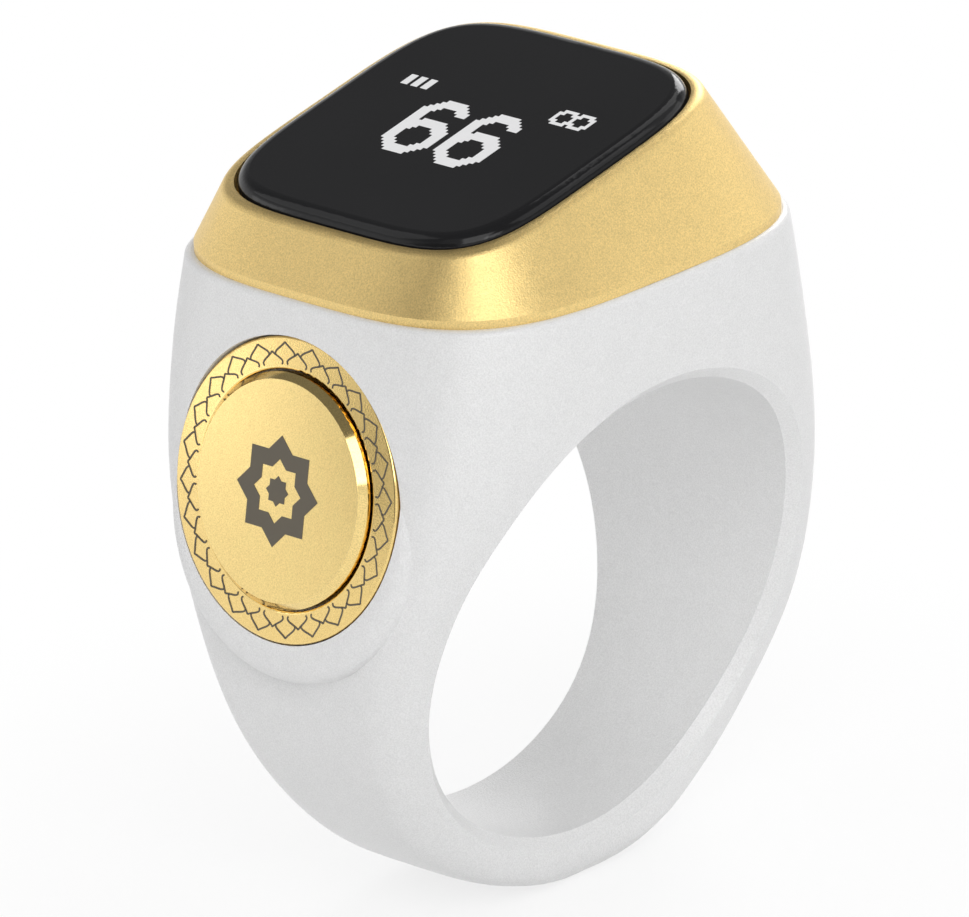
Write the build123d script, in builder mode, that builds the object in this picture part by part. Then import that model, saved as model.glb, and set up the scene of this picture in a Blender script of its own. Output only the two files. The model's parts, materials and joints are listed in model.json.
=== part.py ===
"""Digital tasbih counter worn on a finger: a ring body with a tilted display head and a side button.

Millimetres. The origin is on the axis of the finger bore, at the middle of the ring's width.
+Y runs along the finger, +Z runs up to the display and the button is on the -X side.
"""
import os
from math import atan, cos, pi, radians, sin, sqrt

from build123d import *

os.makedirs("parts", exist_ok=True)

# Finger ring
BORE_RADIUS = 10.0
BORE_CHAMFER = 0.5
BAND_WALL_BOTTOM = 2.15
BAND_WALL_SIDE = 2.5
BAND_WIDTH = 7.6
BAND_EDGE_ROUND = 1.2
WAIST_WIDTH = 12.2

# Head of the ring, where the bezel meets it
SEAM_RISE = 0.55
HEAD_LENGTH = 21.1
HEAD_EXPONENT = 3.4
HEAD_EDGE_ROUND = 0.25
HEAD_WALL = 1.3
FLOOR_WALL = 1.3

# Sections of the body above the bore axis: share of the seam height, share of the widening from waist
# to head, squareness on the button side and squareness on the far side
UPPER_SECTIONS = (
    (1.0, 1.0, 3.6, 3.5),
    (0.89, 0.96, 3.95, 3.55),
    (0.74, 0.885, 4.55, 3.65),
    (0.59, 0.78, 5.35, 3.9),
    (0.43, 0.61, 6.7, 4.5),
    (0.23, 0.305, 9.4, 6.2),
    (0.0, 0.0, 9.8, 8.0),
)

# Sections below it: degrees round towards the bottom, share of the widening from band to waist, squareness
LOWER_SECTIONS = (
    (18, 0.5, 9.0, 9.0),
    (36, 0.11, 7.3, 8.1),
    (52, 0.0, 6.0, 6.8),
    (65, 0.0, 5.4, 5.8),
    (75, 0.0, 5.1, 5.3),
    (81, 0.0, 5.0, 5.1),
    (85, 0.0, 5.0, 5.0),
)

# Bezel and display
BEZEL_INSET = 0.2
BEZEL_LIP = 0.35
BEZEL_RIM = 0.36
BEZEL_EDGE_ROUND = 0.45
BEZEL_LEDGE = 0.8
BEZEL_OPENING = 13.7
BEZEL_SKIRT_DEPTH = 1.5
BEZEL_SKIRT_WALL = 0.8
SKIRT_CLEARANCE = 0.1
SEAL_THICKNESS = 0.4
DISPLAY_TILT = 12.4
DISPLAY_X = -1.1
DISPLAY_RISE = 4.19
GLASS_SIDE = 15.16
GLASS_EXPONENT = 4.3
GLASS_THICKNESS = 1.0
GLASS_SUNK = 0.6
GLASS_EDGE_ROUND = 0.6
GLASS_GAP = 0.1
GLASS_TAPE = 0.1
PANEL_LENGTH = 12.4
PANEL_WIDTH = 9.6
PANEL_THICKNESS = 1.15

# Button on the side of the head
BUTTON_DROP = 7.4
BUTTON_SUNK = 0.03921
BUTTON_TOE_OUT = 5.1942
BUTTON_TRAVEL = 0.4
PAD_RADIUS = 6.75
PAD_DROP = 1.0
PAD_EDGE_ROUND = 0.9
PAD_STEP = 1.1
PAD_ROOT_ROUND = 0.4
TRIM_RADIUS = 6.1
TRIM_PROUD = 0.06
TRIM_SEAT = 0.65
TRIM_EDGE_ROUND = 0.09
TRIM_FIT = 0.05
CAP_RADIUS = 4.72
CAP_CLEARANCE = 0.08
CAP_PROUD = 0.44
CAP_FLOOR_GAP = 0.06
CAP_CHAMFER = 0.28
STEM_RADIUS = 0.8
STEM_PRESS_DEPTH = 0.4
STEM_CLEARANCE = 0.05
STEM_GROOVE_RADIUS = 0.55
CLIP_RADIUS = 1.5
CLIP_THICKNESS = 0.2
CLIP_GAP = 0.03
CLIP_MOUTH = 0.9
GUIDE_RADIUS = 3.55
GUIDE_FIT = 0.05
GUIDE_THICKNESS = 0.7
STEM_SEAL_SECTION = 0.4
STEM_SEAL_CLEARANCE = 0.03
STEM_SEAL_SEAT = 0.42
SWITCH_SIDE = 2.8
SWITCH_HEIGHT = 0.6
SWITCH_WELL = 0.5
PLUNGER_RADIUS = 0.5
PLUNGER_CLEARANCE = 0.05
PLUNGER_OVERTRAVEL = 0.05
PLUNGER_FLOOR_GAP = 0.02
SWITCH_POCKET_RADIUS = 2.4
SWITCH_POCKET_DEPTH = 3.05
STIFFENER_THICKNESS = 0.15
STIFFENER_FIT = 0.05
FLEX_THICKNESS = 0.1
SWITCH_FLEX_WIDTH = 3.0
SWITCH_FLEX_TAIL = 1.8
PASSAGE_WIDTH = 3.4
PASSAGE_THICKNESS = 0.5
PASSAGE_END_GAP = 0.2

# Circuit board and what it carries
BOARD_CLEARANCE = 0.2
BOARD_THICKNESS = 0.6
BOARD_GAP = 0.45
POST_INSET_X = 2.75
POST_INSET_Y = 2.5
POST_RADIUS = 0.95
SCREW_RADIUS = 0.4
SCREW_LENGTH = 2.6
SCREW_HEAD_RADIUS = 0.85
SCREW_HEAD_HEIGHT = 0.4
SCREW_SLOT = 0.25
BOARD_HOLE_RADIUS = 0.5
RADIO_CHIP = (4.0, 4.0, 0.75)
RADIO_CHIP_AT = (-2.4, -3.3)
POWER_CHIP = (2.0, 2.0, 0.6)
POWER_CHIP_AT = (-3.2, 0.8)
SENSOR_CHIP = (2.0, 2.0, 0.9)
SENSOR_CHIP_AT = (-6.2, 1.6)
CRYSTAL = (1.6, 2.0, 0.5)
CRYSTAL_AT = (-6.0, -2.4)
ANTENNA = (3.2, 1.2, 0.6)
ANTENNA_X = -1.6
ANTENNA_INSET = 1.7
PASSIVE = (0.5, 1.0, 0.45)
PASSIVES_AT = (
    (-4.6, 2.8),
    (-3.7, 2.8),
    (-2.8, 2.8),
    (-1.9, 2.8),
    (-0.6, -0.4),
    (0.3, -5.4),
    (1.2, -5.4),
    (2.1, -5.4),
)
CONNECTOR = (1.6, 3.8, 0.95)
CONNECTOR_AT = (3.2, -2.6)
PANEL_FLEX_WIDTH = 3.6
PANEL_FLEX_LEAD = 0.8
PANEL_FLEX_OVERHANG = 0.4
MOTOR_RADIUS = 2.9
MOTOR_HEIGHT = 2.0
MOTOR_EDGE_ROUND = 0.2
MOTOR_AT = (2.6, 2.4)
MOTOR_LEAD_RADIUS = 0.15
MOTOR_LEAD_SPACING = 0.8
MOTOR_LEAD_REACH = 0.8
MOTOR_LEAD_RISE = 0.4

# Battery and charging
BATTERY_LENGTH = 13.6
BATTERY_END_GAP = 1.1
BATTERY_WIDTH = 8.6
BATTERY_THICKNESS = 2.6
BATTERY_EDGE_ROUND = 0.8
BATTERY_TAPE = (7.4, 12.0, 0.1)
BATTERY_LEAD_RADIUS = 0.22
BATTERY_LEAD_SPACING = 1.6
BATTERY_LEAD_DROP = 1.0
BATTERY_LEAD_REACH = 0.32
CONTACT_SPACING = 4.5
CONTACT_RADIUS = 0.8
CONTACT_SUNK = 0.05
CONTACT_HEAD_RADIUS = 1.2
CONTACT_HEAD_HEIGHT = 0.3
CHARGE_FLEX_WIDTH = 7.0
CHARGE_FLEX_START_X = -1.4
CHARGE_FLEX_RISE_X = 6.4
CHARGE_FLEX_BEND = 0.6

# Worked out from the values above
waist_half_x = BORE_RADIUS + BAND_WALL_SIDE
front_taper = waist_half_x - HEAD_LENGTH / 2
floor_z = BORE_RADIUS + FLOOR_WALL
tape_z = floor_z + FLEX_THICKNESS
battery_z = tape_z + BATTERY_TAPE[2]
board_z = battery_z + BATTERY_THICKNESS + BOARD_CLEARANCE
board_top = board_z + BOARD_THICKNESS
seam_z = board_z + SEAM_RISE
bottom_depth = BORE_RADIUS + BAND_WALL_BOTTOM
inner_half_y = BATTERY_LENGTH / 2 + BATTERY_END_GAP
skirt_half_y = inner_half_y + BEZEL_SKIRT_WALL
well_half_y = skirt_half_y + SKIRT_CLEARANCE
head_width = 2 * (well_half_y + HEAD_WALL)
well_half_x = HEAD_LENGTH / 2 - HEAD_WALL
skirt_half_x = well_half_x - SKIRT_CLEARANCE
inner_half_x = skirt_half_x - BEZEL_SKIRT_WALL
post_x = inner_half_x - POST_INSET_X
post_y = inner_half_y - POST_INSET_Y
antenna_at = (ANTENNA_X, inner_half_y - ANTENNA_INSET)
skirt_z = seam_z - BEZEL_SKIRT_DEPTH
seal_z = skirt_z - SEAL_THICKNESS
glass_half = GLASS_SIDE / 2
recess_half = glass_half + GLASS_GAP
rim_half = recess_half + BEZEL_RIM
opening_half = BEZEL_OPENING / 2
recess_depth = GLASS_SUNK + GLASS_TAPE
trim_bore_radius = CAP_RADIUS + CAP_CLEARANCE
guide_back = TRIM_SEAT + GUIDE_THICKNESS
cap_back = TRIM_SEAT - BUTTON_TRAVEL - CAP_FLOOR_GAP
cap_thickness = cap_back + TRIM_PROUD + CAP_PROUD
clip_front = guide_back + CLIP_GAP
clip_back = clip_front + CLIP_THICKNESS
flex_back = SWITCH_POCKET_DEPTH - STIFFENER_THICKNESS
flex_front = flex_back - FLEX_THICKNESS
switch_front = flex_front - SWITCH_HEIGHT
plunger_rest = BUTTON_TRAVEL + PLUNGER_OVERTRAVEL
plunger_length = plunger_rest + SWITCH_WELL - BUTTON_TRAVEL - PLUNGER_FLOOR_GAP
stem_tip = switch_front - plunger_rest

# Work planes of the seam, of the leaning button and of the tilted display
seam_plane = Plane.XY.offset(seam_z)
seal_plane = Plane.XY.offset(seal_z)
button_z = seam_z - BUTTON_DROP
button_x = BUTTON_SUNK - waist_half_x + front_taper * (button_z / seam_z) ** 2
lean = radians(BUTTON_TOE_OUT) + atan(2 * front_taper * button_z / seam_z**2)
tilt = radians(DISPLAY_TILT)
switch_flex_top = (board_z - button_z + flex_front * sin(lean)) / cos(lean)
passage_length = switch_flex_top + PASSAGE_END_GAP
button_out = (-cos(lean), 0, sin(lean))
button_up = (sin(lean), 0, cos(lean))
button_origin = (button_x, 0, button_z)
button_face = Plane(origin=button_origin, x_dir=(0, -1, 0), z_dir=button_out)
button_section = Plane(origin=button_origin, x_dir=button_up, z_dir=(0, -1, 0))
button_axis = Axis(button_origin, button_out)
pad_origin = button_face.from_local_coords((0, -PAD_DROP, 0))
pad_section = Plane(origin=pad_origin, x_dir=button_up, z_dir=(0, -1, 0))
display_face = Plane(
    origin=(DISPLAY_X, 0, seam_z + DISPLAY_RISE),
    x_dir=(cos(tilt), 0, sin(tilt)),
    z_dir=(-sin(tilt), 0, cos(tilt)),
)
recess_floor = display_face.offset(-recess_depth)


def squircle(plane, half_x, half_y, exponent, far_exponent=None, steps=48):
    """Face bounded by a closed superellipse curve, whose +X half may have a squareness of its own."""
    points = []
    for step in range(steps):
        turn = 2 * pi * step / steps
        power = far_exponent if far_exponent and cos(turn) > 0 else exponent
        reach = (abs(cos(turn)) ** power + abs(sin(turn)) ** power) ** (1 / power)
        points.append((half_x * cos(turn) / reach, half_y * sin(turn) / reach))
    with BuildSketch(plane) as outline:
        with BuildLine():
            Spline(*points, periodic=True)
        make_face()
    return outline.sketch


def plate(plane, half_x, half_y, exponent, height, mode=Mode.ADD):
    """Plate or cut with a superellipse outline, standing on a plane."""
    extrude(squircle(plane, half_x, half_y, exponent), height, mode=mode)


def body_sections():
    """Outlines of the ring body from the seam down to the bottom of the band."""
    outlines = []
    for rise, widening, exponent, far_exponent in UPPER_SECTIONS:
        half_x = waist_half_x - front_taper * rise**2
        half_y = (WAIST_WIDTH + (head_width - WAIST_WIDTH) * widening) / 2
        outlines.append(squircle(Plane.XY.offset(rise * seam_z), half_x, half_y, exponent, far_exponent))
    for angle, widening, exponent, far_exponent in LOWER_SECTIONS:
        drop = bottom_depth * sin(radians(angle))
        half_x = waist_half_x * cos(radians(angle))
        half_y = (BAND_WIDTH + (WAIST_WIDTH - BAND_WIDTH) * widening) / 2
        edge = max(0, BAND_EDGE_ROUND - bottom_depth + drop)
        half_y -= BAND_EDGE_ROUND - sqrt(BAND_EDGE_ROUND**2 - edge**2)
        outlines.append(squircle(Plane.XY.offset(-drop), half_x, half_y, exponent, far_exponent))
    return outlines


def box_on(place, size, base_z):
    """Block standing on a height, centred on a place."""
    with Locations((place[0], place[1], base_z)):
        Box(*size, align=(Align.CENTER, Align.CENTER, Align.MIN))


# Ring body with its pad, button seat, display well and board posts
with BuildPart() as ring_body:
    loft(body_sections())
    fillet(ring_body.faces().sort_by(Axis.Z)[-1].edges(), HEAD_EDGE_ROUND)
    with BuildSketch(Plane.XZ):
        Circle(BORE_RADIUS)
    extrude(amount=head_width, both=True, mode=Mode.SUBTRACT)
    bore_wall = ring_body.faces().filter_by(GeomType.CYLINDER)
    bore_rims = bore_wall.edges().filter_by(GeomType.LINE, reverse=True)
    chamfer(bore_rims, BORE_CHAMFER)
    with BuildSketch(pad_section):
        with BuildLine():
            flat_end = (PAD_RADIUS - PAD_EDGE_ROUND, 0)
            wall_top = (PAD_RADIUS, -PAD_EDGE_ROUND)
            wall_foot = (PAD_RADIUS, -PAD_STEP)
            root_end = (PAD_RADIUS + PAD_ROOT_ROUND, -PAD_STEP - PAD_ROOT_ROUND)
            Line((0, 0), flat_end)
            RadiusArc(flat_end, wall_top, PAD_EDGE_ROUND)
            Line(wall_top, wall_foot)
            RadiusArc(wall_foot, root_end, -PAD_ROOT_ROUND)
            Line(root_end, (0, root_end[1]))
            Line((0, root_end[1]), (0, 0))
        make_face()
    revolve(axis=Axis(pad_origin, button_out))
    with BuildSketch(button_face.offset(-TRIM_SEAT)):
        Circle(TRIM_RADIUS + TRIM_FIT)
    extrude(amount=TRIM_SEAT + PAD_RADIUS, mode=Mode.SUBTRACT)
    with BuildSketch(button_face.offset(-guide_back)):
        Circle(GUIDE_RADIUS + GUIDE_FIT)
    extrude(amount=GUIDE_THICKNESS, mode=Mode.SUBTRACT)
    with BuildSketch(button_face.offset(-SWITCH_POCKET_DEPTH)):
        Circle(SWITCH_POCKET_RADIUS)
    extrude(amount=SWITCH_POCKET_DEPTH, mode=Mode.SUBTRACT)
    plate(seal_plane, well_half_x, well_half_y, HEAD_EXPONENT, seam_z, Mode.SUBTRACT)
    plate(Plane.XY.offset(floor_z), inner_half_x, inner_half_y, HEAD_EXPONENT, seam_z, Mode.SUBTRACT)
    with BuildSketch(button_face.offset(-SWITCH_POCKET_DEPTH)):
        with Locations((0, passage_length / 2)):
            Rectangle(PASSAGE_WIDTH, passage_length)
    extrude(amount=PASSAGE_THICKNESS, mode=Mode.SUBTRACT)
    with BuildSketch(Plane.XY.offset(floor_z)):
        with GridLocations(2 * post_x, 2 * post_y, 2, 2):
            Circle(POST_RADIUS)
    extrude(amount=board_z - floor_z)
    with BuildSketch(Plane.XY.offset(board_z)):
        with GridLocations(2 * post_x, 2 * post_y, 2, 2):
            Circle(SCREW_RADIUS)
    extrude(amount=BOARD_THICKNESS - SCREW_LENGTH, mode=Mode.SUBTRACT)
    with BuildSketch(Plane.XY):
        with GridLocations(0, CONTACT_SPACING, 1, 2):
            Circle(CONTACT_RADIUS)
    extrude(amount=floor_z, mode=Mode.SUBTRACT)
    with BuildSketch(Plane.XY.offset(floor_z - CONTACT_HEAD_HEIGHT)):
        with GridLocations(0, CONTACT_SPACING, 1, 2):
            Circle(CONTACT_HEAD_RADIUS)
    extrude(amount=CONTACT_HEAD_HEIGHT, mode=Mode.SUBTRACT)

ring_body.part.label = "ring_body"
export_step(ring_body.part, "parts/ring_body.step")

# Bezel with its skirt, glass recess and display opening
with BuildPart() as bezel:
    seam_half_x = HEAD_LENGTH / 2 - BEZEL_INSET
    seam_half_y = head_width / 2 - BEZEL_INSET
    lip_top = squircle(seam_plane.offset(BEZEL_LIP), seam_half_x, seam_half_y, HEAD_EXPONENT)
    loft([lip_top, squircle(display_face, rim_half, rim_half, GLASS_EXPONENT)], ruled=True)
    fillet(bezel.faces().sort_by(Axis.Z)[-1].edges(), BEZEL_EDGE_ROUND)
    plate(seam_plane, seam_half_x, seam_half_y, HEAD_EXPONENT, BEZEL_LIP)
    plate(seam_plane, skirt_half_x, skirt_half_y, HEAD_EXPONENT, -BEZEL_SKIRT_DEPTH)
    ledge_back = display_face.offset(-recess_depth - BEZEL_LEDGE)
    chamber = [
        squircle(seam_plane, inner_half_x, inner_half_y, HEAD_EXPONENT),
        squircle(ledge_back, opening_half, opening_half, GLASS_EXPONENT),
    ]
    loft(chamber, ruled=True, mode=Mode.SUBTRACT)
    plate(seam_plane, inner_half_x, inner_half_y, HEAD_EXPONENT, -BEZEL_SKIRT_DEPTH, Mode.SUBTRACT)
    plate(ledge_back, opening_half, opening_half, GLASS_EXPONENT, GLASS_SIDE, Mode.SUBTRACT)
    plate(recess_floor, recess_half, recess_half, GLASS_EXPONENT, GLASS_SIDE, Mode.SUBTRACT)

bezel.part.label = "bezel"
export_step(bezel.part, "parts/bezel.step")

# Silicone seal the skirt presses down on
with BuildPart() as rim_seal:
    plate(seal_plane, skirt_half_x, skirt_half_y, HEAD_EXPONENT, SEAL_THICKNESS)
    plate(seal_plane, inner_half_x, inner_half_y, HEAD_EXPONENT, SEAL_THICKNESS, Mode.SUBTRACT)

rim_seal.part.label = "rim_seal"
export_step(rim_seal.part, "parts/rim_seal.step")

# Cover glass with a rounded front edge
with BuildPart() as cover_glass:
    plate(display_face.offset(-GLASS_SUNK), glass_half, glass_half, GLASS_EXPONENT, GLASS_THICKNESS)
    fillet(cover_glass.faces().sort_by(Axis.Z)[-1].edges(), GLASS_EDGE_ROUND)

cover_glass.part.label = "cover_glass"
export_step(cover_glass.part, "parts/cover_glass.step")

# Adhesive frame under the glass
with BuildPart() as glass_tape:
    plate(recess_floor, glass_half, glass_half, GLASS_EXPONENT, GLASS_TAPE)
    plate(recess_floor, opening_half, opening_half, GLASS_EXPONENT, GLASS_TAPE, Mode.SUBTRACT)

glass_tape.part.label = "glass_tape"
export_step(glass_tape.part, "parts/glass_tape.step")

# Display panel bonded behind the glass
with BuildPart() as display_panel:
    with BuildSketch(display_face.offset(-GLASS_SUNK)):
        Rectangle(PANEL_WIDTH, PANEL_LENGTH)
    extrude(amount=-PANEL_THICKNESS)

display_panel.part.label = "display_panel"
export_step(display_panel.part, "parts/display_panel.step")

# Flex tail of the display panel, folded down to its connector
panel_back = GLASS_SUNK + PANEL_THICKNESS + FLEX_THICKNESS / 2
tail_start = display_face.from_local_coords((PANEL_WIDTH / 2 - PANEL_FLEX_LEAD, 0, -panel_back))
tail_edge = display_face.from_local_coords((PANEL_WIDTH / 2 + PANEL_FLEX_OVERHANG, 0, -panel_back))
tail_low = board_top + CONNECTOR[2] + FLEX_THICKNESS / 2
tail_bend = (tail_edge.Z - tail_low) / (1 + cos(tilt))
tail_turn_x = tail_edge.X + tail_bend * sin(tilt)
with BuildPart() as display_flex:
    with BuildSketch(Plane.XZ.offset(-CONNECTOR_AT[1] - PANEL_FLEX_WIDTH / 2)):
        with BuildLine():
            Line((tail_start.X, tail_start.Z), (tail_edge.X, tail_edge.Z))
            tail_centre = (tail_turn_x, tail_low + tail_bend)
            CenterArc(tail_centre, tail_bend, 90 + DISPLAY_TILT, -180 - DISPLAY_TILT)
            Line((tail_turn_x, tail_low), (CONNECTOR_AT[0], tail_low))
        trace(line_width=FLEX_THICKNESS)
    extrude(amount=PANEL_FLEX_WIDTH)

display_flex.part.label = "display_flex"
export_step(display_flex.part, "parts/display_flex.step")

# Main circuit board
with BuildPart() as main_board:
    board_half_x = inner_half_x - BOARD_GAP
    board_half_y = inner_half_y - BOARD_GAP
    plate(Plane.XY.offset(board_z), board_half_x, board_half_y, HEAD_EXPONENT, BOARD_THICKNESS)
    with BuildSketch(Plane.XY.offset(board_z)):
        with GridLocations(2 * post_x, 2 * post_y, 2, 2):
            Circle(BOARD_HOLE_RADIUS)
    extrude(amount=BOARD_THICKNESS, mode=Mode.SUBTRACT)

main_board.part.label = "main_board"
export_step(main_board.part, "parts/main_board.step")

# Screws that hold the board on its posts
with BuildPart() as board_screws:
    with BuildSketch(Plane.XY.offset(board_top - SCREW_LENGTH)):
        with GridLocations(2 * post_x, 2 * post_y, 2, 2):
            Circle(SCREW_RADIUS)
    extrude(amount=SCREW_LENGTH)
    with BuildSketch(Plane.XY.offset(board_top)):
        with GridLocations(2 * post_x, 2 * post_y, 2, 2):
            Circle(SCREW_HEAD_RADIUS)
    extrude(amount=SCREW_HEAD_HEIGHT)
    with BuildSketch(Plane.XY.offset(board_top + SCREW_HEAD_HEIGHT / 2)):
        with GridLocations(2 * post_x, 2 * post_y, 2, 2):
            Rectangle(SCREW_HEAD_RADIUS, SCREW_SLOT)
            Rectangle(SCREW_SLOT, SCREW_HEAD_RADIUS)
    extrude(amount=SCREW_HEAD_HEIGHT, mode=Mode.SUBTRACT)

board_screws.part.label = "board_screws"
export_step(board_screws.part, "parts/board_screws.step")

# Chips and small parts soldered on the board
with BuildPart() as radio_chip:
    box_on(RADIO_CHIP_AT, RADIO_CHIP, board_top)

radio_chip.part.label = "radio_chip"
export_step(radio_chip.part, "parts/radio_chip.step")

with BuildPart() as power_chip:
    box_on(POWER_CHIP_AT, POWER_CHIP, board_top)

power_chip.part.label = "power_chip"
export_step(power_chip.part, "parts/power_chip.step")

with BuildPart() as motion_sensor:
    box_on(SENSOR_CHIP_AT, SENSOR_CHIP, board_top)

motion_sensor.part.label = "motion_sensor"
export_step(motion_sensor.part, "parts/motion_sensor.step")

with BuildPart() as clock_crystal:
    box_on(CRYSTAL_AT, CRYSTAL, board_top)

clock_crystal.part.label = "clock_crystal"
export_step(clock_crystal.part, "parts/clock_crystal.step")

with BuildPart() as chip_antenna:
    box_on(antenna_at, ANTENNA, board_top)

chip_antenna.part.label = "chip_antenna"
export_step(chip_antenna.part, "parts/chip_antenna.step")

with BuildPart() as board_passives:
    for place in PASSIVES_AT:
        box_on(place, PASSIVE, board_top)

board_passives.part.label = "board_passives"
export_step(board_passives.part, "parts/board_passives.step")

with BuildPart() as display_connector:
    box_on(CONNECTOR_AT, CONNECTOR, board_top)

display_connector.part.label = "display_connector"
export_step(display_connector.part, "parts/display_connector.step")

# Coin vibration motor stuck on the board
with BuildPart() as vibration_motor:
    with BuildSketch(Plane.XY.offset(board_top)):
        with Locations(MOTOR_AT):
            Circle(MOTOR_RADIUS)
    extrude(amount=MOTOR_HEIGHT)
    fillet(vibration_motor.faces().sort_by(Axis.Z)[-1].edges(), MOTOR_EDGE_ROUND)

vibration_motor.part.label = "vibration_motor"
export_step(vibration_motor.part, "parts/vibration_motor.step")

# Motor leads, from the side of the can down to the board
motor_lead_x = MOTOR_AT[0] - sqrt(MOTOR_RADIUS**2 - (MOTOR_LEAD_SPACING / 2) ** 2)
with BuildPart() as motor_leads:
    for side in (-1, 1):
        lead_y = MOTOR_AT[1] + side * MOTOR_LEAD_SPACING / 2
        with BuildLine(Plane.XZ.offset(-lead_y)) as lead_path:
            lead_bend_x = motor_lead_x - MOTOR_LEAD_REACH
            Line((motor_lead_x, board_top + MOTOR_LEAD_RISE), (lead_bend_x, board_top + MOTOR_LEAD_RISE))
            JernArc((lead_bend_x, board_top + MOTOR_LEAD_RISE), (-1, 0), MOTOR_LEAD_RISE, 90)
        with BuildSketch(Plane(origin=lead_path.line @ 0, z_dir=lead_path.line % 0)):
            Circle(MOTOR_LEAD_RADIUS)
        sweep(path=lead_path.line)

motor_leads.part.label = "motor_leads"
export_step(motor_leads.part, "parts/motor_leads.step")

# Charging contacts moulded into the roof of the bore
with BuildPart() as charge_contacts:
    with BuildSketch(Plane.XY.offset(BORE_RADIUS + CONTACT_SUNK)):
        with GridLocations(0, CONTACT_SPACING, 1, 2):
            Circle(CONTACT_RADIUS)
    extrude(amount=FLOOR_WALL - CONTACT_SUNK)
    with BuildSketch(Plane.XY.offset(floor_z - CONTACT_HEAD_HEIGHT)):
        with GridLocations(0, CONTACT_SPACING, 1, 2):
            Circle(CONTACT_HEAD_RADIUS)
    extrude(amount=CONTACT_HEAD_HEIGHT)

charge_contacts.part.label = "charge_contacts"
export_step(charge_contacts.part, "parts/charge_contacts.step")

# Charging flex, from the contacts under the battery up to the board
charge_flex_z = floor_z + FLEX_THICKNESS / 2
with BuildPart() as charge_flex:
    with BuildSketch(Plane.XZ.offset(-CHARGE_FLEX_WIDTH / 2)):
        with BuildLine():
            bend_start = (CHARGE_FLEX_RISE_X - CHARGE_FLEX_BEND, charge_flex_z)
            rise_start = (CHARGE_FLEX_RISE_X, charge_flex_z + CHARGE_FLEX_BEND)
            Line((CHARGE_FLEX_START_X, charge_flex_z), bend_start)
            RadiusArc(bend_start, rise_start, -CHARGE_FLEX_BEND)
            Line(rise_start, (CHARGE_FLEX_RISE_X, board_z - FLEX_THICKNESS / 2))
        trace(line_width=FLEX_THICKNESS)
    extrude(amount=CHARGE_FLEX_WIDTH)

charge_flex.part.label = "charge_flex"
export_step(charge_flex.part, "parts/charge_flex.step")

# Battery on its adhesive pad
with BuildPart() as battery_tape:
    box_on((0, 0), BATTERY_TAPE, tape_z)

battery_tape.part.label = "battery_tape"
export_step(battery_tape.part, "parts/battery_tape.step")

with BuildPart() as battery:
    box_on((0, 0), (BATTERY_WIDTH, BATTERY_LENGTH, BATTERY_THICKNESS), battery_z)
    fillet(battery.edges().filter_by(Axis.Y), BATTERY_EDGE_ROUND)

battery.part.label = "battery"
export_step(battery.part, "parts/battery.step")

# Battery leads, from the end of the cell up to the board
lead_z = board_z - BATTERY_LEAD_DROP
with BuildPart() as battery_leads:
    for side in (-1, 1):
        with BuildLine(Plane.YZ.offset(side * BATTERY_LEAD_SPACING / 2)) as lead_path:
            Line((BATTERY_LENGTH / 2, lead_z), (BATTERY_LENGTH / 2 + BATTERY_LEAD_REACH, lead_z))
            JernArc((BATTERY_LENGTH / 2 + BATTERY_LEAD_REACH, lead_z), (1, 0), BATTERY_LEAD_REACH, 90)
            Line(lead_path.line @ 1, (BATTERY_LENGTH / 2 + 2 * BATTERY_LEAD_REACH, board_z))
        with BuildSketch(Plane(origin=lead_path.line @ 0, z_dir=lead_path.line % 0)):
            Circle(BATTERY_LEAD_RADIUS)
        sweep(path=lead_path.line)

battery_leads.part.label = "battery_leads"
export_step(battery_leads.part, "parts/battery_leads.step")

# Trim ring round the button
with BuildPart() as trim_ring:
    with BuildSketch(button_face.offset(-TRIM_SEAT)):
        Circle(TRIM_RADIUS)
        Circle(trim_bore_radius, mode=Mode.SUBTRACT)
    extrude(amount=TRIM_SEAT + TRIM_PROUD)
    fillet(trim_ring.faces().sort_by(button_axis)[-1].edges(), TRIM_EDGE_ROUND)

trim_ring.part.label = "trim_ring"
export_step(trim_ring.part, "parts/trim_ring.step")

# Button cap
with BuildPart() as button_cap:
    with BuildSketch(button_face.offset(-cap_back)):
        Circle(CAP_RADIUS)
    extrude(amount=cap_thickness)
    chamfer(button_cap.faces().sort_by(button_axis)[-1].edges(), CAP_CHAMFER)
    with BuildSketch(button_face.offset(-cap_back)):
        Circle(STEM_RADIUS)
    extrude(amount=STEM_PRESS_DEPTH, mode=Mode.SUBTRACT)

button_cap.part.label = "button_cap"
export_step(button_cap.part, "parts/button_cap.step")

# Stem pressed into the cap, with a groove for its clip
with BuildPart() as button_stem:
    with BuildSketch(button_face.offset(-stem_tip)):
        Circle(STEM_RADIUS)
    extrude(amount=stem_tip - cap_back + STEM_PRESS_DEPTH)
    with BuildSketch(button_face.offset(-clip_back)):
        Circle(STEM_RADIUS)
        Circle(STEM_GROOVE_RADIUS, mode=Mode.SUBTRACT)
    extrude(amount=CLIP_THICKNESS, mode=Mode.SUBTRACT)

button_stem.part.label = "button_stem"
export_step(button_stem.part, "parts/button_stem.step")

# Clip that keeps the button in
with BuildPart() as stem_clip:
    with BuildSketch(button_face.offset(-clip_back)):
        Circle(CLIP_RADIUS)
        Circle(STEM_GROOVE_RADIUS, mode=Mode.SUBTRACT)
        with Locations((0, -CLIP_RADIUS)):
            Rectangle(CLIP_MOUTH, 2 * CLIP_RADIUS, mode=Mode.SUBTRACT)
    extrude(amount=CLIP_THICKNESS)

stem_clip.part.label = "stem_clip"
export_step(stem_clip.part, "parts/stem_clip.step")

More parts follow.
